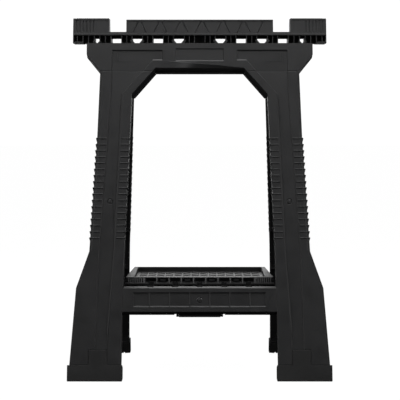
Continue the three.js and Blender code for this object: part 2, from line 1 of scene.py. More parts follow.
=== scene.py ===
"""The look of a folding plastic sawhorse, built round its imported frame.

Every moulding is a merged copy of its frame node with softened edges, dressed with the grip ribs,
lips, grooves, teeth and bosses that the moulds leave on it. Lengths in the classes are millimetres;
heights inside a frame are measured along the leaning frame from the hinge axis.
"""
import json
import logging
import math
from contextlib import contextmanager
from dataclasses import dataclass
from enum import Enum
from typing import Callable, Iterator, Sequence

import bmesh
import bpy
from mathutils import Matrix, Vector

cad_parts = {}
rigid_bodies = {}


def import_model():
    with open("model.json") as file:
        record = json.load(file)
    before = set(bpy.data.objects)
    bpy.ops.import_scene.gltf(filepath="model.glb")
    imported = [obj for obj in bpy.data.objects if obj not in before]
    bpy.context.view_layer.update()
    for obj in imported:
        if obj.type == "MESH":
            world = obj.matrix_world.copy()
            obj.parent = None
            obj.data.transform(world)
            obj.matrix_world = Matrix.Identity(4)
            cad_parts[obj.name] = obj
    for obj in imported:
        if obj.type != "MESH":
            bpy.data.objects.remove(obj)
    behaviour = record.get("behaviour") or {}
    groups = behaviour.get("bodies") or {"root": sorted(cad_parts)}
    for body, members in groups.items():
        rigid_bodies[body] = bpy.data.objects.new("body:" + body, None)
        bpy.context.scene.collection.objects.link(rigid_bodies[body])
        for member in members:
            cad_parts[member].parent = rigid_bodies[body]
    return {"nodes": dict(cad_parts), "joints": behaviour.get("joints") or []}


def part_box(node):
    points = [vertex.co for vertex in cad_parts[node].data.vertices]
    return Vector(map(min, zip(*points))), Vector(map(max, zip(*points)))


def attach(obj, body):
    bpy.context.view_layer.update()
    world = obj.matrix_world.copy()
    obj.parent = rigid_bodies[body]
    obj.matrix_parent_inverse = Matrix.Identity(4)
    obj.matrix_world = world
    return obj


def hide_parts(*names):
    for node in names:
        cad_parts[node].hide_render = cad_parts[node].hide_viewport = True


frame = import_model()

log = logging.getLogger("sawhorse")

MM = 0.001
FRONT_FACE = -30.8     # a frame's front and back faces, from the plane of the hinge axis
BACK_FACE = -0.8
MERGE_DISTANCE = 0.00001        # metres: closer corners are one corner
CRISP_ANGLE = 8.0      # degrees: sharper edges than this show as edges
END_ANGLE = 60.0       # degrees: rounds the ends of a bar and leaves its sides
FACING = 0.9           # a normal this far along an axis counts as facing that way
Corner = Sequence[float]


# ------------------------------------------------------------------ modelling by hand
def select_only(*pieces: bpy.types.Object) -> None:
    """Leaves just these pieces selected, the first of them active.

    Args:
        pieces: The objects to select.
    """
    for other in bpy.context.view_layer.objects:
        other.select_set(False)
    for piece in pieces:
        piece.select_set(True)
    bpy.context.view_layer.objects.active = pieces[0]


@contextmanager
def editing(piece: bpy.types.Object) -> Iterator[None]:
    """Opens a piece in edit mode with all of it selected, and closes it again.

    Args:
        piece: The mesh to edit.

    Returns:
        A context in which the piece is open.
    """
    select_only(piece)
    bpy.ops.object.mode_set(mode="EDIT")
    bpy.ops.mesh.select_mode(type="FACE")
    bpy.ops.mesh.select_all(action="SELECT")
    yield
    bpy.ops.object.mode_set(mode="OBJECT")


def select_faces(piece: bpy.types.Object, wanted: Callable[[Vector, Vector], bool]) -> None:
    """Selects an open piece's faces by their place and direction.

    Args:
        piece: The mesh, in edit mode.
        wanted: Says from a face's middle and normal whether it is selected.
    """
    mesh = bmesh.from_edit_mesh(piece.data)
    for face in mesh.faces:
        face.select_set(wanted(face.calc_center_median(), face.normal))
    bmesh.update_edit_mesh(piece.data)


def settle(piece: bpy.types.Object) -> bpy.types.Object:
    """Puts a piece's place, turn and scale into its mesh.

    Args:
        piece: The object to settle.

    Returns:
        The same object, at the origin.
    """
    select_only(piece)
    bpy.ops.object.transform_apply(location=True, rotation=True, scale=True)
    return piece


def block(low: Corner, high: Corner, lean: float = 0.0) -> bpy.types.Object:
    """Adds a box between two corners.

    Args:
        low: Its lowest corner, in millimetres.
        high: Its highest corner, in millimetres.
        lean: A turn about its own middle in the X-Z plane, in radians.

    Returns:
        The new object.
    """
    middle = [(a + b) / 2 * MM for a, b in zip(low, high)]
    size = [abs(b - a) * MM for a, b in zip(low, high)]
    bpy.ops.object.select_all(action="DESELECT")
    bpy.ops.mesh.primitive_cube_add(size=1, location=middle, rotation=(0, lean, 0), scale=size)
    return settle(bpy.context.object)


def cylinder(radius: float, start: Corner, end: Corner, turn: Corner, chamfer: float,
             sides: int = 48) -> bpy.types.Object:
    """Adds a round bar with softened ends.

    Args:
        radius: Its radius in millimetres.
        start: The middle of its first end, in millimetres.
        end: The middle of its other end, in millimetres.
        turn: Its turn from upright about each axis, in radians.
        chamfer: How much of each end's edge is taken off, in millimetres.
        sides: Flat faces round it.

    Returns:
        The new object.
    """
    middle = [(a + b) / 2 * MM for a, b in zip(start, end)]
    bpy.ops.object.select_all(action="DESELECT")
    bpy.ops.mesh.primitive_cylinder_add(vertices=sides, radius=radius * MM,
        depth=math.dist(start, end) * MM, location=middle, rotation=turn)
    return soften(settle(bpy.context.object), chamfer, angle=END_ANGLE)


def soften(piece: bpy.types.Object, width: float, segments: int = 2, angle: float = 25.0
           ) -> bpy.types.Object:
    """Rounds a piece's sharp edges as a mould does.

    Args:
        piece: The mesh to round.
        width: Width of the rounding in millimetres.
        segments: Faces across the rounding.
        angle: Edges sharper than this many degrees are rounded.

    Returns:
        The same object.
    """
    select_only(piece)
    edge = piece.modifiers.new("edge", "BEVEL")
    edge.width = width * MM
    edge.segments = segments
    edge.limit_method = "ANGLE"
    edge.angle_limit = math.radians(angle)
    edge.miter_outer = "MITER_ARC"
    edge.use_clamp_overlap = False
    bpy.ops.object.modifier_apply(modifier=edge.name)
    return piece


def smooth(piece: bpy.types.Object) -> bpy.types.Object:
    """Shades a finished piece: round rods run smooth, flats and the facets of edges stay flat.

    Args:
        piece: The mesh to shade.

    Returns:
        The same object.
    """
    with editing(piece):
        bpy.ops.mesh.quads_convert_to_tris()
    select_only(piece)
    bpy.ops.object.shade_smooth_by_angle(angle=math.radians(CRISP_ANGLE))
    return piece


def taper(piece: bpy.types.Object, wanted: Callable[[Vector, Vector], bool], scale: Corner,
          centre: Corner) -> bpy.types.Object:
    """Narrows one end of a piece.

    Args:
        piece: The mesh to shape.
        wanted: Says from a face's middle and normal whether it is at the narrowed end.
        scale: The end's scale along each axis.
        centre: The place that stays, in millimetres.

    Returns:
        The same object.
    """
    with editing(piece):
        select_faces(piece, wanted)
        bpy.ops.transform.resize(value=scale, center_override=[place * MM for place in centre])
    return piece


def sill(start: float, end: float, bottom: float, depth: float, height: float) -> bpy.types.Object:
    """Adds the sloping foot of a recess in a frame's front face.

    Args:
        start: Its first end along X.
        end: Its other end.
        bottom: The recess's lower edge.
        depth: The recess's depth.
        height: The height of the slope.

    Returns:
        The sill.
    """
    sunk, below_face, top_thickness = 0.5, 0.1, 0.05
    back = FRONT_FACE + depth + sunk
    piece = block((start, FRONT_FACE + below_face, bottom - sunk), (end, back, bottom + height))
    return taper(piece, lambda at, normal: normal.z > FACING, (1, top_thickness, 1), (0, back, 0))


def twin(piece: bpy.types.Object, place: Matrix) -> bpy.types.Object:
    """Makes a copy of a piece, with its own mesh, somewhere else.

    Args:
        piece: The object to copy.
        place: Where the copy goes; a mirroring place turns its faces out again.

    Returns:
        The copy.
    """
    copy = bpy.data.objects.new(piece.name, piece.data.copy())
    bpy.context.scene.collection.objects.link(copy)
    copy.matrix_world = place
    settle(copy)
    if place.determinant() < 0:
        with editing(copy):
            bpy.ops.mesh.normals_make_consistent(inside=False)
    return copy


def join(name: str, pieces: Sequence[bpy.types.Object]) -> bpy.types.Object:
    """Joins pieces into one object.

    Args:
        name: The joined object's name.
        pieces: The objects to join; the first one stays.

    Returns:
        The joined object.
    """
    select_only(*pieces)
    if len(pieces) > 1:
        bpy.ops.object.join()
    pieces[0].name = name
    return pieces[0]


def discard(*pieces: bpy.types.Object) -> None:
    """Removes pieces that were only patterns or cutters.

    Args:
        pieces: The objects to remove.
    """
    for piece in pieces:
        bpy.data.objects.remove(piece)


def copied(node: str) -> bpy.types.Object:
    """Copies a frame node's shape and merges it into clean faces.

    Args:
        node: The frame node's name.

    Returns:
        The new object.
    """
    piece = bpy.data.objects.new(f"{node}_moulding", frame["nodes"][node].data.copy())
    bpy.context.scene.collection.objects.link(piece)
    with editing(piece):
        bpy.ops.mesh.remove_doubles(threshold=MERGE_DISTANCE)
        bpy.ops.mesh.tris_convert_to_quads(face_threshold=math.radians(1),
            shape_threshold=math.radians(180))
    return piece


def moulded(node: str, edge: float) -> bpy.types.Object:
    """Copies a frame node's shape and rounds its edges.

    Args:
        node: The frame node's name.
        edge: Width of the rounded edges in millimetres.

    Returns:
        The new object.
    """
    return soften(copied(node), edge)


def engrave(piece: bpy.types.Object, cutters: Sequence[bpy.types.Object]) -> bpy.types.Object:
    """Cuts grooves into a piece.

    Args:
        piece: The mesh to cut.
        cutters: The grooves' shapes, which are used up.

    Returns:
        The same object.
    """
    tool = join("cutter", cutters)
    select_only(piece)
    groove = piece.modifiers.new("groove", "BOOLEAN")
    groove.operation = "DIFFERENCE"
    groove.object = tool
    groove.solver = "EXACT"
    bpy.ops.object.modifier_apply(modifier=groove.name)
    discard(tool)
    with editing(piece):
        bpy.ops.mesh.remove_doubles(threshold=MERGE_DISTANCE)
        bpy.ops.mesh.quads_convert_to_tris()
    return piece


# ------------------------------------------------------------------ finishes
def linear(colour: str) -> tuple[float, float, float, float]:
    """Turns an sRGB hex colour into the linear one that shaders use.

    Args:
        colour: Six hex digits after a hash sign.

    Returns:
        Red, green, blue and alpha.
    """
    parts = [int(colour[index:index + 2], 16) / 255 for index in (1, 3, 5)]
    red, green, blue = (p / 12.92 if p <= 0.04045 else ((p + 0.055) / 1.055) ** 2.4 for p in parts)
    return red, green, blue, 1.0


def add_node(tree: bpy.types.NodeTree, kind: str, inputs: dict | None = None, **settings: object
             ) -> bpy.types.Node:
    """Adds one node to a tree.

    Args:
        tree: The node tree.
        kind: The node's type.
        inputs: Socket to value, or to the socket it is linked from.
        settings: The node's own properties.

    Returns:
        The new node.
    """
    node = tree.nodes.new(kind)
    for name, value in settings.items():
        setattr(node, name, value)
    for socket, value in (inputs or {}).items():
        if isinstance(value, bpy.types.NodeSocket):
            tree.links.new(value, node.inputs[socket])
        else:
            node.inputs[socket].default_value = value
    return node


def per_metre(millimetres: float) -> float:
    """Noise scale whose grains are this many millimetres across."""
    return 1 / (millimetres * MM)


@dataclass(frozen=True)
class Moulding:
    """A moulded, spark-textured polymer: a matt black whose fine pits break up every reflection."""

    name: str
    dark: str
    light: str
    smooth: float
    rough: float
    ior: float
    grain: float = 1.1      # spark texture is 0.2 to 0.4 mm; drawn coarser so that it still shows
    cloud: float = 38.0     # slow change in gloss where the melt flowed
    pit_depth: float = 0.045

    def material(self) -> bpy.types.Material:
        """Builds the finish.

        Returns:
            The material.
        """
        material = bpy.data.materials.new(self.name)
        material.use_nodes = True
        tree = material.node_tree
        tree.nodes.clear()
        place = add_node(tree, "ShaderNodeTexCoord").outputs["Object"]
        grain = add_node(tree, "ShaderNodeTexNoise",
            {"Vector": place, "Scale": per_metre(self.grain), "Detail": 3.0, "Roughness": 0.6})
        cloud = add_node(tree, "ShaderNodeTexNoise",
            {"Vector": place, "Scale": per_metre(self.cloud), "Detail": 4.0, "Roughness": 0.55})
        # Inputs 6 and 7 of a mix are its A and B for colours.
        colour = add_node(tree, "ShaderNodeMix",
            {0: cloud.outputs["Fac"], 6: linear(self.dark), 7: linear(self.light)},
            data_type="RGBA")
        gloss = add_node(tree, "ShaderNodeMapRange",
            {"Value": cloud.outputs["Fac"], "From Min": 0.3, "From Max": 0.7,
             "To Min": self.smooth, "To Max": self.rough})
        pits = add_node(tree, "ShaderNodeBump",
            {"Height": grain.outputs["Fac"], "Strength": 0.5, "Distance": self.pit_depth * MM})
        shader = add_node(tree, "ShaderNodeBsdfPrincipled",
            {"Base Color": colour.outputs[2], "Roughness": gloss.outputs["Result"],
             "Normal": pits.outputs["Normal"], "IOR": self.ior})
        add_node(tree, "ShaderNodeOutputMaterial", {"Surface": shader.outputs["BSDF"]})
        return material


@dataclass(frozen=True)
class DrawnSteel:
    """Zinc-plated drawn steel rod: a grey metal with faint lines along it from the die."""

    name: str
    colour: str
    roughness: float
    line: float = 0.6       # die lines are finer; drawn as wide as they need to show
    line_length: float = 60.0
    line_depth: float = 0.01
    spread: float = 0.08    # how far the roughness strays either way

    def material(self) -> bpy.types.Material:
        """Builds the finish.

        Returns:
            The material.
        """
        material = bpy.data.materials.new(self.name)
        material.use_nodes = True
        tree = material.node_tree
        tree.nodes.clear()
        place = add_node(tree, "ShaderNodeTexCoord").outputs["Object"]
        along = add_node(tree, "ShaderNodeMapping",
            {"Vector": place, "Scale": (self.line / self.line_length, 1.0, 1.0)})
        lines = add_node(tree, "ShaderNodeTexNoise",
            {"Vector": along.outputs["Vector"], "Scale": per_metre(self.line), "Detail": 2.0})
        gloss = add_node(tree, "ShaderNodeMapRange",
            {"Value": lines.outputs["Fac"], "To Min": self.roughness - self.spread,
             "To Max": self.roughness + self.spread})
        relief = add_node(tree, "ShaderNodeBump",
            {"Height": lines.outputs["Fac"], "Strength": 0.3, "Distance": self.line_depth * MM})
        shader = add_node(tree, "ShaderNodeBsdfPrincipled",
            {"Base Color": linear(self.colour), "Metallic": 1.0,
             "Roughness": gloss.outputs["Result"], "Normal": relief.outputs["Normal"]})
        add_node(tree, "ShaderNodeOutputMaterial", {"Surface": shader.outputs["BSDF"]})
        return material


class Slot(Enum):
    """The record's material slots."""

    POLYPROPYLENE = "polypropylene"
    RUBBER = "foot_rubber"
    STEEL = "steel_rod"


class Body(Enum):
    """The frame's moving bodies."""

    FRONT = "front_frame"
    REAR = "rear_frame"
    SHELF = "shelf"
    LATCH = "latch"


FINISHES = {
    # Black polypropylene, spark-textured mould: soft grey sheen, darker in the recesses.
    Slot.POLYPROPYLENE: Moulding("moulded_black_polypropylene", "#161617", "#1c1c1d", 0.44, 0.56, 1.49),
    # Black thermoplastic rubber: flatter and darker than the polypropylene beside it.
    Slot.RUBBER: Moulding("moulded_black_rubber", "#0f0f10", "#141414", 0.72, 0.84, 1.5, grain=1.4),
    # Zinc-plated steel, drawn: the only metal, seen at the ends and gaps of the hinges.
    Slot.STEEL: DrawnSteel("zinc_plated_drawn_steel", "#8d8f92", 0.36),
}


class Wardrobe:
    """Hands out each finish's material, made once."""

    def __init__(self) -> None:
        """Makes every finish."""
        self.materials = {slot: finish.material() for slot, finish in FINISHES.items()}

    def dress(self, piece: bpy.types.Object, slot: Slot, body: Body, nodes: Sequence[str]) -> None:
        """Gives a finished piece its material, its body and the nodes it stands for.

        Args:
            piece: The finished object.
            slot: Its finish.
            body: The body it rides on.
            nodes: The frame nodes it replaces.
        """
        smooth(piece)
        piece.data.materials.clear()
        piece.data.materials.append(self.materials[slot])
        for polygon in piece.data.polygons:
            polygon.material_index = 0
        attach(piece, body.value)
        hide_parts(*nodes)
        log.info("%s: %d faces on %s", piece.name, len(piece.data.polygons), body.value)


# ------------------------------------------------------------------ the leaning frames
@dataclass(frozen=True)
class FramePlane:
    """Where one leaning frame stands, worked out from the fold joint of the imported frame."""

    prefix: str
    body: Body
    turned: bool

    @property
    def fold(self) -> dict:
        """The fold joint's record."""
        return next(joint for joint in frame["joints"] if joint["child"] == Body.REAR.value)

    @property
    def standing(self) -> Matrix:
        """The hinge axis's place, with the frame's front turned to its own side."""
        turn = Matrix.Rotation(math.pi if self.turned else 0.0, 4, "Z")
        return Matrix.Translation(Vector(self.fold["pos_m"])) @ turn

    def leaning(self, mirrored: bool = False) -> Matrix:
        """The frame's own plane.

        Args:
            mirrored: Whether left and right change places.

        Returns:
            The matrix from the frame's plane to the object.
        """
        lean = math.radians(self.fold["range_deg"][1] / 2)
        flip = Matrix.Scale(-1, 4, (1, 0, 0)) if mirrored else Matrix.Identity(4)
        return self.standing @ Matrix.Rotation(-lean, 4, "X") @ flip

    def side(self, mirrored: bool) -> str:
        """Name of the side on which the mirrored or plain right-hand piece ends up."""
        return "left" if mirrored != self.turned else "right"


FRAMES = (FramePlane("front", Body.FRONT, False), FramePlane("rear", Body.REAR, True))


@dataclass(frozen=True)
class Edge:
    """A moulding's edge in the frame's plane, as corners (x, height), from the top down."""

    corners: tuple[tuple[float, float], ...]

    def at(self, height: float) -> float:
        """How far from the middle the edge is at a height.

        Args:
            height: Height along the frame, from the hinge axis.

        Returns:
            Distance from the middle in millimetres.
        """
        for (x0, z0), (x1, z1) in zip(self.corners, self.corners[1:]):
            if height >= z1:
                return x0 + (x1 - x0) * (height - z0) / (z1 - z0)
        return self.corners[-1][0]


# ------------------------------------------------------------------ sub-assemblies
@dataclass
class Legs:
    """The four legs, with rows of grip ribs on the strips beside the sunk channel."""

    outer: Edge = Edge(((226.3, -95), (231.2, -254), (245.3, -513), (273.5, -596)))
    inner: Edge = Edge(((153.7, -149), (158, -254), (168, -513), (170, -596)))
    channel_outer: Edge = Edge(((201, -149), (224, -513)))
    channel_inner: Edge = Edge(((176, -149), (190.4, -513)))
    foot: Edge = Edge(((190.4, -513), (203.1, -700)))
    welt_width: float = 3.0        # low ridges beside the channel and along the outer edge
    welt_proud: float = 0.8
    welt_inset: float = 4.6
    welt_root: float = 0.1
    first_rib: float = -253.6
    rib_pitch: float = 14.35
    rib_count: int = 17
    rib_height: float = 2.8
    proud: float = 1.1
    outer_tooth: float = 2.4       # ribs past the leg's outer edge
    inner_tooth: float = 1.2       # and past its inner edge, clear of the folded tray
    strip_end: float = 1.4         # ribs turn this far inside the leg's edge
    rib_stop: float = 4.0          # and stop this far from its back
    rib_edge: float = 0.9
    outer_gap: float = 0.8         # along X, from the channel's outer edge to the ribs beside it
    inner_gap: float = -3.2        # and from its inner edge
    edge: float = 0.9
    rim_thickness: float = 2.6
    rim_root: float = 2.0
    bar_edge: float = 0.7
    ridge_width: float = 0.08      # of the bar's own width
    chamfer_rim: float = 3.6       # rim along the opening's inside edge, on its chamfers
    side_rim: float = 1.1          # and down its sides
    chamfer_top: tuple[float, float] = (103.0, -90.2)

    def rib(self, start: float, edge: float, height: float) -> bpy.types.Object:
        """Models one grip rib: across the strip, round the leg's edge and back along its side.

        Args:
            start: Where it starts beside the channel.
            edge: The leg's edge at its height.
            height: Its height along the frame.

        Returns:
            The rib.
        """
        out = 1 if edge > start else -1
        tip = edge + out * (self.outer_tooth if out > 0 else self.inner_tooth)
        bend = edge - out * self.strip_end
        low = (min(start, tip), FRONT_FACE - self.proud, height - self.rib_height / 2)
        high = (max(start, tip), FRONT_FACE + self.strip_end, height + self.rib_height / 2)
        bar = block(low, high)
        with editing(bar):
            bpy.ops.mesh.bisect(plane_co=(bend * MM, 0, 0), plane_no=(1, 0, 0))
            select_faces(bar, lambda at, normal: normal.y > FACING and out * (at.x - bend * MM) > 0)
            depth = (BACK_FACE - self.rib_stop - FRONT_FACE) * MM
            bpy.ops.mesh.extrude_region_move(TRANSFORM_OT_translate={"value": (0, depth, 0)})
        return soften(bar, self.rib_edge, angle=END_ANGLE)

    def grip(self, channel: Edge, edge: Edge, inset: float) -> list[bpy.types.Object]:
        """Repeats the rib down one strip.

        Args:
            channel: The channel's edge beside the strip.
            edge: The leg's edge beside the strip.
            inset: How far along X from the channel's edge the ribs start.

        Returns:
            All the ribs of the strip.
        """
        middle = self.first_rib - self.rib_pitch * (self.rib_count // 2)
        start, end = channel.at(middle) + inset, edge.at(middle)
        pattern = self.rib(start, end, middle)
        ribs = []
        for index in range(self.rib_count):
            height = self.first_rib - index * self.rib_pitch
            stretch = (edge.at(height) - channel.at(height) - inset) / (end - start)
            shift = edge.at(height) - end * stretch
            place = Matrix.Translation((shift * MM, 0, (height - middle) * MM))
            ribs.append(twin(pattern, place @ Matrix.Scale(stretch, 4, (1, 0, 0))))
        discard(pattern)
        return ribs

    def strip(self, start: tuple[float, float], end: tuple[float, float],
              across: tuple[float, float], depth: tuple[float, float],
              ridged: bool = False) -> bpy.types.Object:
        """Adds a straight bar along a line in the frame's plane.

        Args:
            start: The line's upper end, as x and height.
            end: Its lower end.
            across: How far the bar reaches either side of the line, towards the opening last.
            depth: Front and back of the bar.
            ridged: Whether its front narrows to a ridge instead of being rounded.

        Returns:
            The bar.
        """
        (x0, z0), (x1, z1) = start, end
        length = math.hypot(x1 - x0, z1 - z0)
        out = Vector((z1 - z0, 0, x0 - x1)) / length
        middle = Vector(((x0 + x1) / 2, 0, (z0 + z1) / 2)) + out * (across[1] - across[0]) / 2
        half = (across[0] + across[1]) / 2
        bar = block((-length / 2, depth[0], -half), (length / 2, depth[1], half))
        if ridged:
            taper(bar, lambda at, normal: normal.y < -FACING, (1, 1, self.ridge_width), (0, 0, 0))
        else:
            soften(bar, self.bar_edge)
        turn = Matrix.Rotation(math.atan2(z0 - z1, x1 - x0), 4, "Y")
        placed = twin(bar, Matrix.Translation(middle * MM) @ turn)
        discard(bar)
        return placed

    def rim(self) -> list[bpy.types.Object]:
        """The rim along the opening, at the inner side of the frame.

        Returns:
            One bar for each straight stretch of the right leg's inner edge.
        """
        corners = (self.chamfer_top, *self.inner.corners)
        return [self.strip(start, end,
                (self.rim_root, self.side_rim if index else self.chamfer_rim),
                (BACK_FACE - self.rim_thickness, BACK_FACE))
            for index, (start, end) in enumerate(zip(corners, corners[1:]))]

    def welts(self) -> list[bpy.types.Object]:
        """Raised lines along the channel's inner edge and just inside the leg's outer edge.

        Returns:
            One bar for each straight stretch.
        """
        outer = [(x - self.welt_inset, z) for x, z in self.outer.corners[:3]]
        lines = [self.channel_inner.corners, self.foot.corners, outer[:2], outer[1:]]
        half = self.welt_width / 2
        depth = (FRONT_FACE - self.welt_proud, FRONT_FACE + self.welt_root)
        return [self.strip(start, end, (half, half), depth, ridged=True) for start, end in lines]

    def build(self, wardrobe: Wardrobe) -> None:
        """Builds and dresses the four legs.

        Args:
            wardrobe: The finishes.
        """
        right_grip = join("grip", [
            *self.grip(self.channel_outer, self.outer, self.outer_gap),
            *self.grip(self.channel_inner, self.inner, self.inner_gap),
            *self.rim(),
            *self.welts(),
        ])
        for plane in FRAMES:
            for mirrored in (False, True):
                node = f"{plane.prefix}_leg_{plane.side(mirrored)}"
                shell = moulded(node, self.edge)
                grip = twin(right_grip, plane.leaning(mirrored))
                wardrobe.dress(join(node + "_finished", [shell, grip]), Slot.POLYPROPYLENE,
                    plane.body, [node])
        discard(right_grip)


@dataclass(frozen=True)
class CornerWeb:
    """A slanting web in a corner of an open bay."""

    spread: float      # from the bay's middle
    half: float
    bottom: float
    top: float
    slant: float       # degrees from upright


BAY_WEB = CornerWeb(spread=11.0, half=2.6, bottom=-31, top=-19, slant=38)
END_BAY_WEB = CornerWeb(spread=5.8, half=1.8, bottom=-29.5, top=-21.5, slant=45)


@dataclass
class Rails:
    """The two halves of the work rail: lips, braced front face, toothed ends."""

    half: float = 289.5
    notch_near: float = 167.9
    notch_far: float = 206.9
    face_top: float = 30.7
    middle_drop: float = 2.7
    lip_height: float = 3.2
    lip_proud: float = 1.4
    drip_top: float = -5.4         # lip that hangs over the tops of the bays
    drip_bottom: float = -10.0
    drip_proud: float = 1.2
    brace_pitch: float = 47.6
    side_braces: int = 3           # either side of the middle one
    brace_shift: float = 5.5
    brace_foot: float = 14.8
    brace_head: float = 3.8
    brace_top: float = 21.3
    brace_bottom: float = -3.1
    groove: float = 2.2
    groove_depth: float = 1.8
    end_grooves: int = 6
    end_groove_first: float = 243.0
    end_groove_pitch: float = 7.7
    end_groove_stop: float = 5.0   # below the face's top
    cutter_reach: float = 2.0      # in front of the face
    lip_gap: float = 0.6           # lips and pads stop short of the rail's corners
    lip_inset: float = 0.3
    lip_root: float = 2.0
    tooth_pitch: float = 4.6
    tooth_width: float = 2.4
    tooth_height: float = 4.4
    tooth_start: float = 3.2       # past the notch
    tooth_root: float = 4.0
    end_teeth: int = 17            # on each end's front edge
    pad_ribs: int = 16             # across each end's top
    trim_edge: float = 0.6
    pad_top: float = 38.0          # above the hinge axis, with the frame standing
    pad_front: float = -20.2
    pad_back: float = -1.2
    pad_gap: float = 0.8
    pad_proud: float = 0.1
    pad_sunk: float = 1.0
    pad_edge: float = 0.35
    pad_rib_inset: float = 0.6
    pad_rise: float = 0.9
    wedge_front: float = 1.0       # webs in the open bays, behind the front face
    wedge_back: float = 5.0
    webbed_bays: tuple[int, ...] = (1, 3)
    end_bay: float = 234.6         # middle of the small bay at each end
    edge: float = 0.55

    def grooves(self) -> list[bpy.types.Object]:
        """Cutters for the slanted brace lines and for the upright lines at the rail's ends.

        Returns:
            The cutters, in the frame's plane.
        """
        cutters = []
        rise = self.brace_top - self.brace_bottom
        run = self.brace_foot - self.brace_head
        slant = math.atan2(run, rise)
        middle = (self.brace_top + self.brace_bottom) / 2
        reach = math.hypot(rise, run) / 2
        front = FRONT_FACE - self.cutter_reach
        back = FRONT_FACE + self.groove_depth
        for index in range(-self.side_braces, self.side_braces + 1):
            centre = self.brace_shift + index * self.brace_pitch
            for side in (-1, 1):
                x = centre + side * (self.brace_foot + self.brace_head) / 2
                if abs(x) > self.notch_near - self.brace_foot:
                    continue
                cutters.append(block((x - self.groove / 2, front, middle - reach),
                    (x + self.groove / 2, back, middle + reach), -side * slant))
        for side in (-1, 1):
            for index in range(self.end_grooves):
                x = side * (self.end_groove_first + index * self.end_groove_pitch)
                cutters.append(block((x - self.groove / 2, front, self.brace_bottom),
                    (x + self.groove / 2, back, self.face_top - self.end_groove_stop)))
        return cutters

    def trim(self) -> list[bpy.types.Object]:
        """The lip along the top, the lip over the bays and the teeth at the ends.

        Returns:
            The pieces, in the frame's plane.
        """
        lip_top = self.face_top - self.lip_inset
        middle_top = lip_top - self.middle_drop
        lip_end = self.notch_near - self.lip_gap
        drip_end = self.half - self.lip_gap
        root = FRONT_FACE + self.lip_root
        pieces = [
            block((-lip_end, FRONT_FACE - self.lip_proud, middle_top - self.lip_height),
                (lip_end, root, middle_top)),
            block((-drip_end, FRONT_FACE - self.drip_proud, self.drip_bottom),
                (drip_end, root, self.drip_top)),
        ]
        pieces += [block(
            (x - self.tooth_width / 2, FRONT_FACE - self.lip_proud, lip_top - self.tooth_height),
            (x + self.tooth_width / 2, FRONT_FACE + self.tooth_root, lip_top))
            for x in self.tooth_places(self.end_teeth)]
        return [soften(piece, self.trim_edge) for piece in pieces]

    def tooth_places(self, count: int) -> list[float]:
        """Where the teeth and ribs of both rail ends stand.

        Args:
            count: How many stand on each end.

        Returns:
            Their middles along X.
        """
        first = self.notch_far + self.tooth_start
        return [side * (first + index * self.tooth_pitch) for side in (-1, 1) for index in range(count)]

    def pads(self) -> list[bpy.types.Object]:
        """The slightly raised, finely ribbed tops of the rail's ends.

        Returns:
            The pieces, with the frame standing.
        """
        pieces = []
        for side in (-1, 1):
            ends = sorted((side * (self.notch_far + self.pad_gap), side * (self.half - self.pad_gap)))
            pieces.append(block((ends[0], self.pad_front, self.pad_top - self.pad_sunk),
                (ends[1], self.pad_back, self.pad_top + self.pad_proud)))
        front, back = self.pad_front + self.pad_rib_inset, self.pad_back - self.pad_rib_inset
        pieces += [block((x - self.tooth_width / 2, front, self.pad_top),
            (x + self.tooth_width / 2, back, self.pad_top + self.pad_rise))
            for x in self.tooth_places(self.pad_ribs)]
        return [soften(piece, self.pad_edge) for piece in pieces]

    def wedges(self) -> list[bpy.types.Object]:
        """Corner webs that narrow every second open bay and the small end bays.

        Returns:
            The pieces, in the frame's plane.
        """
        front, back = FRONT_FACE + self.wedge_front, FRONT_FACE + self.wedge_back
        wide = [(side * bay * self.brace_pitch, BAY_WEB) for side in (-1, 1) for bay in self.webbed_bays]
        small = [(side * self.end_bay, END_BAY_WEB) for side in (-1, 1)]
        pieces = []
        for middle, web in wide + small:
            for corner in (-1, 1):
                x = middle + corner * web.spread
                pieces.append(block((x - web.half, front, web.bottom), (x + web.half, back, web.top),
                    corner * math.radians(web.slant)))
        return pieces

    def build(self, wardrobe: Wardrobe) -> None:
        """Builds and dresses both rails.

        Args:
            wardrobe: The finishes.
        """
        cutters = join("grooves", self.grooves())
        trim = join("trim", self.trim() + self.wedges())
        pads = join("pads", self.pads())
        for plane in FRAMES:
            node = f"{plane.prefix}_rail"
            shell = soften(engrave(copied(node), [twin(cutters, plane.leaning())]), self.edge)
            pieces = [shell, twin(trim, plane.leaning()), twin(pads, plane.standing)]
            wardrobe.dress(join(node + "_finished", pieces), Slot.POLYPROPYLENE, plane.body, [node])
        discard(cutters, trim, pads)


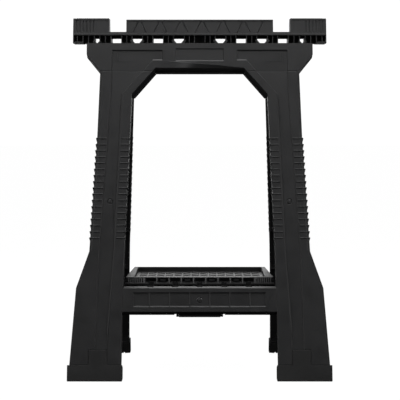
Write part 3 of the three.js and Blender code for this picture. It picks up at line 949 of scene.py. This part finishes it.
@dataclass
class Yokes:
    """The shouldered heads of the frames, with a blank name plate and small moulded ribs."""

    edge: float = 1.0
    vent_start: float = 183.0
    vent_pitch: float = 4.4
    vent_count: int = 4
    vent_top: float = -52.0
    vent_bottom: float = -70.0
    vent_width: float = 1.4
    vent_proud: float = 0.7
    ledge_reach: float = 34.0      # line under the vent ribs, from them towards the middle
    ledge_drop: float = 2.2
    ledge_height: float = 1.4
    ledge_proud: float = 0.5
    mark_root: float = 1.0
    mark_edge: float = 0.3
    channel_depth: float = 2.5
    opening_half: float = 101.2
    opening_drop: float = 88.0
    rim_drop: float = 4.6          # rim along the opening's inside edge
    rim_thickness: float = 2.6
    rim_root: float = 2.0
    rim_edge: float = 0.6
    plate_half: float = 54.4
    plate_bottom: float = -70.5
    plate_depth: float = 1.5
    pocket_start: float = 85.0
    pocket_end: float = 107.0
    pocket_bottom: float = -69.0
    pocket_depth: float = 2.5
    plate_sill: float = 2.6        # sloping sills along the bottoms of plate and pockets
    pocket_sill: float = 3.6

    def marks(self) -> list[bpy.types.Object]:
        """Small raised ribs in the sunk channel beside the shoulders, and the sloping sills.

        Returns:
            The pieces of the right-hand side, in the frame's plane.
        """
        floor = FRONT_FACE + self.channel_depth
        root = floor + self.mark_root
        starts = [self.vent_start + index * self.vent_pitch for index in range(self.vent_count + 1)]
        pieces = [block((start, floor - self.vent_proud, self.vent_bottom),
            (start + self.vent_width, root, self.vent_top)) for start in starts[:-1]]
        ledge = self.vent_bottom - self.ledge_drop
        pieces.append(block((self.vent_start - self.ledge_reach, floor - self.ledge_proud, ledge),
            (starts[-1], root, ledge + self.ledge_height)))
        sills = [
            sill(self.pocket_start, self.pocket_end, self.pocket_bottom, self.pocket_depth,
                self.pocket_sill),
            sill(0, self.plate_half, self.plate_bottom, self.plate_depth, self.plate_sill),
        ]
        return [soften(piece, self.mark_edge) for piece in pieces] + sills

    def rim(self) -> bpy.types.Object:
        """The rim under the opening's edge, at the inner side of the frame.

        Returns:
            The rim, in the frame's plane.
        """
        low = (-self.opening_half, BACK_FACE - self.rim_thickness, -self.opening_drop - self.rim_drop)
        high = (self.opening_half, BACK_FACE, -self.opening_drop + self.rim_root)
        return soften(block(low, high), self.rim_edge)

    def build(self, wardrobe: Wardrobe) -> None:
        """Builds and dresses both yokes.

        Args:
            wardrobe: The finishes.
        """
        marks = join("marks", self.marks())
        rim = self.rim()
        for plane in FRAMES:
            node = f"{plane.prefix}_yoke"
            pieces = [moulded(node, self.edge), twin(rim, plane.leaning())]
            pieces += [twin(marks, plane.leaning(mirrored)) for mirrored in (False, True)]
            wardrobe.dress(join(node + "_finished", pieces), Slot.POLYPROPYLENE, plane.body, [node])
        discard(marks, rim)


@dataclass
class Crossbars:
    """The lower crossbars; their recesses and ribs come with the frame's shape."""

    edge: float = 0.7
    bottom: float = 649.6          # below the hinge axis, along the frame
    rim_start: float = 56.0
    rim_end: float = 170.0
    rim_drop: float = 1.8
    rim_thickness: float = 2.6
    rim_root: float = 2.0
    rim_edge: float = 0.5
    recess_half: float = 146.0
    recess_depth: float = 2.5
    recess_rise: float = 11.4      # recess above the bar's bottom
    sill_height: float = 2.8

    def build(self, wardrobe: Wardrobe) -> None:
        """Builds and dresses both crossbars.

        Args:
            wardrobe: The finishes.
        """
        low = (self.rim_start, BACK_FACE - self.rim_thickness, -self.bottom - self.rim_drop)
        high = (self.rim_end, BACK_FACE, -self.bottom + self.rim_root)
        foot = sill(0, self.recess_half, self.recess_rise - self.bottom, self.recess_depth,
            self.sill_height)
        trim = join("bar_trim", [soften(block(low, high), self.rim_edge), foot])
        for plane in FRAMES:
            node = f"{plane.prefix}_crossbar"
            pieces = [moulded(node, self.edge)]
            pieces += [twin(trim, plane.leaning(mirrored)) for mirrored in (False, True)]
            wardrobe.dress(join(node + "_finished", pieces), Slot.POLYPROPYLENE, plane.body, [node])
        discard(trim)


@dataclass
class Boots:
    """The four rubber boots, with treads cut into their soles."""

    edge: float = 1.6
    edge_segments: int = 3
    tread_pitch: float = 13.0
    tread_width: float = 3.0
    tread_depth: float = 1.5
    tread_count: int = 8
    tread_start: float = -5.0      # cutters start below the floor
    sole_rim: float = 5.0
    sole_length: float = 31.0

    def build(self, wardrobe: Wardrobe) -> None:
        """Builds and dresses the four boots.

        Args:
            wardrobe: The finishes.
        """
        for plane in FRAMES:
            for side in ("left", "right"):
                node = f"{plane.prefix}_boot_{side}"
                shell = copied(node)
                low, high = (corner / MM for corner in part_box(node))
                middle = (low.x + high.x) / 2
                first = middle - self.tread_pitch * (self.tread_count - 1) / 2
                near, far = low.y + self.sole_rim, low.y + self.sole_length - self.sole_rim
                places = [first + index * self.tread_pitch for index in range(self.tread_count)]
                cutters = [block((x - self.tread_width / 2, near, self.tread_start),
                    (x + self.tread_width / 2, far, self.tread_depth)) for x in places]
                soften(engrave(shell, cutters), self.edge, self.edge_segments)
                shell.name = node + "_finished"
                wardrobe.dress(shell, Slot.RUBBER, plane.body, [node])


@dataclass
class Plugs:
    """Round plugs with a pip, each at the bottom of a round hole in a leg or a crossbar."""

    leg_middle: float = 200.5
    leg_drop: float = 399.0
    bar_drop: float = 622.993      # the crossbar's hole, along the leaning frame
    hole: float = 6.4
    rim: float = 0.9           # gap round the plug's face
    rim_depth: float = 1.6
    fit: float = 0.05          # gap round the disc behind it
    seat: float = 2.8          # front of the plug behind the frame's front face
    thickness: float = 5.0
    pip: float = 2.3
    pip_rise: float = 1.1
    pip_root: float = 1.0
    face_edge: float = 1.0
    disc_edge: float = 0.2
    pip_edge: float = 0.5
    sides: int = 32

    def plug(self) -> bpy.types.Object:
        """Models one plug, in the frame's plane and under the hinge's middle.

        Returns:
            The plug.
        """
        front = FRONT_FACE + self.seat
        back = front + self.thickness
        return join("plug", [
            cylinder(radius, (0, start, 0), (0, end, 0), (math.pi / 2, 0, 0), chamfer, self.sides)
            for radius, start, end, chamfer in (
                (self.hole - self.rim, front, back, self.face_edge),
                (self.hole - self.fit, front + self.rim_depth, back, self.disc_edge),
                (self.pip, front - self.pip_rise, front + self.pip_root, self.pip_edge))])

    def build(self, wardrobe: Wardrobe) -> None:
        """Builds and dresses the six plugs.

        Args:
            wardrobe: The finishes.
        """
        pattern = self.plug()
        for plane in FRAMES:
            places = [("middle", 0.0, self.bar_drop)]
            places += [(plane.side(side < 0), side * self.leg_middle, self.leg_drop)
                for side in (-1, 1)]
            for place, x, drop in places:
                node = f"{plane.prefix}_plug_{place}"
                shift = Matrix.Translation((x * MM, 0, -drop * MM))
                piece = twin(pattern, plane.leaning() @ shift)
                piece.name = node + "_finished"
                wardrobe.dress(piece, Slot.POLYPROPYLENE, plane.body, [node])
        discard(pattern)


@dataclass
class HingeMetal:
    """The steel rods of rail and tray, the latch's pin, and the caps at the rail's ends."""

    rail_rod: float = 4.0
    tray_rod: float = 2.5
    latch_pin: float = 1.6
    cap: float = 7.0
    rail_rod_edge: float = 0.6
    tray_rod_edge: float = 0.5
    latch_pin_edge: float = 0.4
    cap_edge: float = 1.6

    def build(self, wardrobe: Wardrobe) -> None:
        """Builds and dresses the rods, the pin and the caps.

        Args:
            wardrobe: The finishes.
        """
        parts = (
            ("hinge_rod", self.rail_rod, Slot.STEEL, self.rail_rod_edge),
            ("shelf_rod", self.tray_rod, Slot.STEEL, self.tray_rod_edge),
            ("latch_pin", self.latch_pin, Slot.STEEL, self.latch_pin_edge),
            ("hinge_cap_left", self.cap, Slot.POLYPROPYLENE, self.cap_edge),
            ("hinge_cap_right", self.cap, Slot.POLYPROPYLENE, self.cap_edge),
        )
        for node, radius, slot, chamfer in parts:
            low, high = (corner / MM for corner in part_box(node))
            y, z = (low.y + high.y) / 2, (low.z + high.z) / 2
            piece = cylinder(radius, (low.x, y, z), (high.x, y, z), (0, math.pi / 2, 0), chamfer)
            piece.name = node + "_finished"
            wardrobe.dress(piece, slot, Body.FRONT, [node])


@dataclass
class Tray:
    """The fold-up tray: pockets and teeth along its near wall, grip pattern on its floor."""

    near_wall: float = 60.0        # from the tray's hinge axis
    well_start: float = 74.0
    well_end: float = 329.0
    well_half: float = 148.0
    ledge_top: float = 12.2        # above the tray's hinge axis
    floor: float = 13.0
    rim: float = 24.4
    pocket_pitch: float = 27.6
    pad_half: float = 6.0
    gusset: float = 2.4
    pad_foot: float = 3.4          # pads in every second pocket, above the ledge
    pad_head: float = 7.2
    tooth_first: float = 127.0
    tooth_count: int = 8
    tooth_pitch: float = 4.7
    tooth_half: float = 1.1
    side_webs: int = 5             # webs between pockets, either side of the middle
    padded_pockets: tuple[int, ...] = (-3, -1, 1, 3)
    ramp_foot: float = 52.0        # sloping webs stand this far from the hinge axis
    ramp_root: float = 1.0
    ramp_top: float = 0.12         # their thickness at the top, of that at the foot
    ramp_inset: float = 0.8        # below the rim
    pad_proud: float = 1.5
    pad_root: float = 4.0
    sunk: float = 0.5              # feet of webs and ribs below their floor
    detail_edge: float = 0.3
    zigzag_rows: int = 6
    zigzag_steps: int = 14
    zigzag_margin: float = 6.0
    zigzag_turn: float = 45.0
    zigzag_half: float = 1.1
    zigzag_rise: float = 1.5
    zigzag_reach: float = 0.56     # half a rib's length, of the step between ribs
    edge: float = 0.7

    @property
    def place(self) -> Matrix:
        """The tray's hinge axis."""
        lift = next(joint for joint in frame["joints"] if joint["child"] == Body.SHELF.value)
        return Matrix.Translation(Vector(lift["pos_m"]))

    def near_wall_detail(self) -> list[bpy.types.Object]:
        """Webs between the pockets, pads in every second one and rows of teeth at both ends.

        Returns:
            The pieces, from the tray's hinge axis.
        """
        pieces = [self.ramp((index + 0.5) * self.pocket_pitch, self.gusset / 2)
            for index in range(-self.side_webs, self.side_webs)]
        front, back = self.near_wall - self.pad_proud, self.near_wall + self.pad_root
        for pocket in self.padded_pockets:
            x = pocket * self.pocket_pitch
            pieces.append(block((x - self.pad_half, front, self.ledge_top + self.pad_foot),
                (x + self.pad_half, back, self.ledge_top + self.pad_head)))
        pieces += [self.ramp(side * (self.tooth_first + tooth * self.tooth_pitch), self.tooth_half)
            for side in (-1, 1) for tooth in range(self.tooth_count)]
        return [soften(piece, self.detail_edge) for piece in pieces]

    def ramp(self, x: float, half: float) -> bpy.types.Object:
        """Adds an upright web that slopes from the rim down to the ledge.

        Args:
            x: Its middle across the tray.
            half: Half its thickness.

        Returns:
            The web.
        """
        back = self.near_wall + self.ramp_root
        web = block((x - half, self.ramp_foot, self.ledge_top - self.sunk),
            (x + half, back, self.rim - self.ramp_inset))
        return taper(web, lambda at, normal: normal.z > FACING, (1, self.ramp_top, 1), (0, back, 0))

    def floor_pattern(self) -> list[bpy.types.Object]:
        """Low zigzag ribs across the floor of the tray.

        Returns:
            The ribs, from the tray's hinge axis.
        """
        pieces = []
        row_pitch = (self.well_end - self.well_start) / self.zigzag_rows
        reach = self.well_half - self.zigzag_margin
        step = 2 * reach / self.zigzag_steps
        half_length = step * self.zigzag_reach
        rib = soften(block((-self.zigzag_half, -half_length, self.floor - self.sunk),
            (self.zigzag_half, half_length, self.floor + self.zigzag_rise)), self.detail_edge)
        for row in range(self.zigzag_rows):
            y = self.well_start + (row + 0.5) * row_pitch
            for index in range(self.zigzag_steps):
                x = (index + 0.5) * step - reach
                turn = math.radians(self.zigzag_turn if index % 2 else -self.zigzag_turn)
                place = Matrix.Translation((x * MM, y * MM, 0)) @ Matrix.Rotation(turn, 4, "Z")
                pieces.append(twin(rib, place))
        discard(rib)
        return pieces

    def build(self, wardrobe: Wardrobe) -> None:
        """Builds and dresses the tray.

        Args:
            wardrobe: The finishes.
        """
        detail = join("detail", self.near_wall_detail() + self.floor_pattern())
        placed = twin(detail, self.place)
        discard(detail)
        tray = join("shelf_tray_finished", [moulded("shelf_tray", self.edge), placed])
        wardrobe.dress(tray, Slot.POLYPROPYLENE, Body.SHELF, ["shelf_tray"])


@dataclass
class Latch:
    """The hook that holds the folded frames together."""

    edge: float = 1.0

    def build(self, wardrobe: Wardrobe) -> None:
        """Builds and dresses the latch.

        Args:
            wardrobe: The finishes.
        """
        hook = moulded("closing_latch", self.edge)
        hook.name = "closing_latch_finished"
        wardrobe.dress(hook, Slot.POLYPROPYLENE, Body.LATCH, ["closing_latch"])


# ------------------------------------------------------------------ studio
@dataclass(frozen=True)
class Softbox:
    """One large square light: its middle, the place it faces, its side in metres, its watts."""

    name: str
    place: Corner
    target: Corner
    size: float
    power: float

    def build(self) -> None:
        """Hangs the light and turns it to its target."""
        bpy.ops.object.select_all(action="DESELECT")
        turn = (Vector(self.target) - Vector(self.place)).to_track_quat("-Z", "Y").to_euler()
        bpy.ops.object.light_add(type="AREA", location=self.place, rotation=turn)
        light = bpy.context.object
        light.name = self.name
        light.data.size = self.size
        light.data.energy = self.power


@dataclass
class Studio:
    """Plain white sweep, soft light from above and round about, and the camera; in metres."""

    softboxes: tuple[Softbox, ...] = (
        Softbox("overhead_softbox", (0, -0.7, 3.0), (0, -0.7, 0), 2.4, 72.0),
        Softbox("left_softbox", (-2.5, -2.1, 1.4), (0, 0, 0.45), 1.5, 22.0),
        Softbox("right_softbox", (2.5, -2.1, 1.4), (0, 0, 0.45), 1.5, 22.0),
        Softbox("back_softbox", (0, 2.8, 1.2), (0, 0, 0.45), 2.2, 26.0),
    )

    camera_distance: float = 4.145
    camera_height: float = 0.583
    camera_drop: float = 2.737     # degrees that it looks down
    camera_side: float = 0.0007
    lens: float = 161.48           # millimetres, as the sensor
    sensor: float = 36.0
    floor_size: float = 60.0
    floor_gap: float = 0.0005      # under the boots
    floor_tone: str = "#404040"
    floor_glow: float = 0.99       # white that only the camera sees
    room_light: float = 0.09
    room_glow: float = 1.05

    def floor(self) -> None:
        """A wide white floor that reads as the white of the sweep behind it."""
        bpy.ops.object.select_all(action="DESELECT")
        bpy.ops.mesh.primitive_plane_add(size=self.floor_size, location=(0, 0, -self.floor_gap))
        plane = settle(bpy.context.object)
        plane.name = "studio_floor"
        material = bpy.data.materials.new("white_sweep")
        material.use_nodes = True
        tree = material.node_tree
        tree.nodes.clear()
        paper = add_node(tree, "ShaderNodeBsdfDiffuse", {"Color": linear(self.floor_tone)})
        glow = add_node(tree, "ShaderNodeEmission",
            {"Color": linear("#ffffff"), "Strength": self.floor_glow})
        sheet = add_node(tree, "ShaderNodeAddShader",
            {0: paper.outputs["BSDF"], 1: glow.outputs["Emission"]})
        seen = add_node(tree, "ShaderNodeLightPath").outputs["Is Camera Ray"]
        mix = add_node(tree, "ShaderNodeMixShader",
            {"Fac": seen, 1: paper.outputs["BSDF"], 2: sheet.outputs["Shader"]})
        add_node(tree, "ShaderNodeOutputMaterial", {"Surface": mix.outputs["Shader"]})
        plane.data.materials.append(material)

    def light(self) -> None:
        """A dim room for the object, a white one for the eye, and the softboxes."""
        world = bpy.data.worlds.new("studio_room")
        bpy.context.scene.world = world
        world.use_nodes = True
        tree = world.node_tree
        tree.nodes.clear()
        seen = add_node(tree, "ShaderNodeLightPath").outputs["Is Camera Ray"]
        strength = add_node(tree, "ShaderNodeMapRange",
            {"Value": seen, "To Min": self.room_light, "To Max": self.room_glow})
        room = add_node(tree, "ShaderNodeBackground",
            {"Color": linear("#ffffff"), "Strength": strength.outputs["Result"]})
        add_node(tree, "ShaderNodeOutputWorld", {"Surface": room.outputs["Background"]})
        for softbox in self.softboxes:
            softbox.build()

    def camera(self) -> None:
        """A long lens a little above half height, square to the rails."""
        bpy.ops.object.camera_add(
            location=(self.camera_side, -self.camera_distance, self.camera_height),
            rotation=(math.radians(90 - self.camera_drop), 0, 0))
        camera = bpy.context.object
        camera.name = "studio_camera"
        camera.data.lens = self.lens
        camera.data.sensor_width = self.sensor
        bpy.context.scene.camera = camera
        bpy.context.scene.view_settings.view_transform = "Standard"

    def build(self) -> None:
        """Sets up floor, light and camera."""
        self.floor()
        self.light()
        self.camera()


def main() -> None:
    """Builds the studio and every sub-assembly in order."""
    logging.basicConfig(level=logging.INFO, format="%(name)s: %(message)s")
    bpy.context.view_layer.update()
    wardrobe = Wardrobe()
    for assembly in (Rails(), Yokes(), Legs(), Crossbars(), Boots(), Plugs(), HingeMetal(), Tray(),
                     Latch()):
        log.info("building %s", type(assembly).__name__)
        assembly.build(wardrobe)
    Studio().build()


if __name__ == "__main__":
    main()
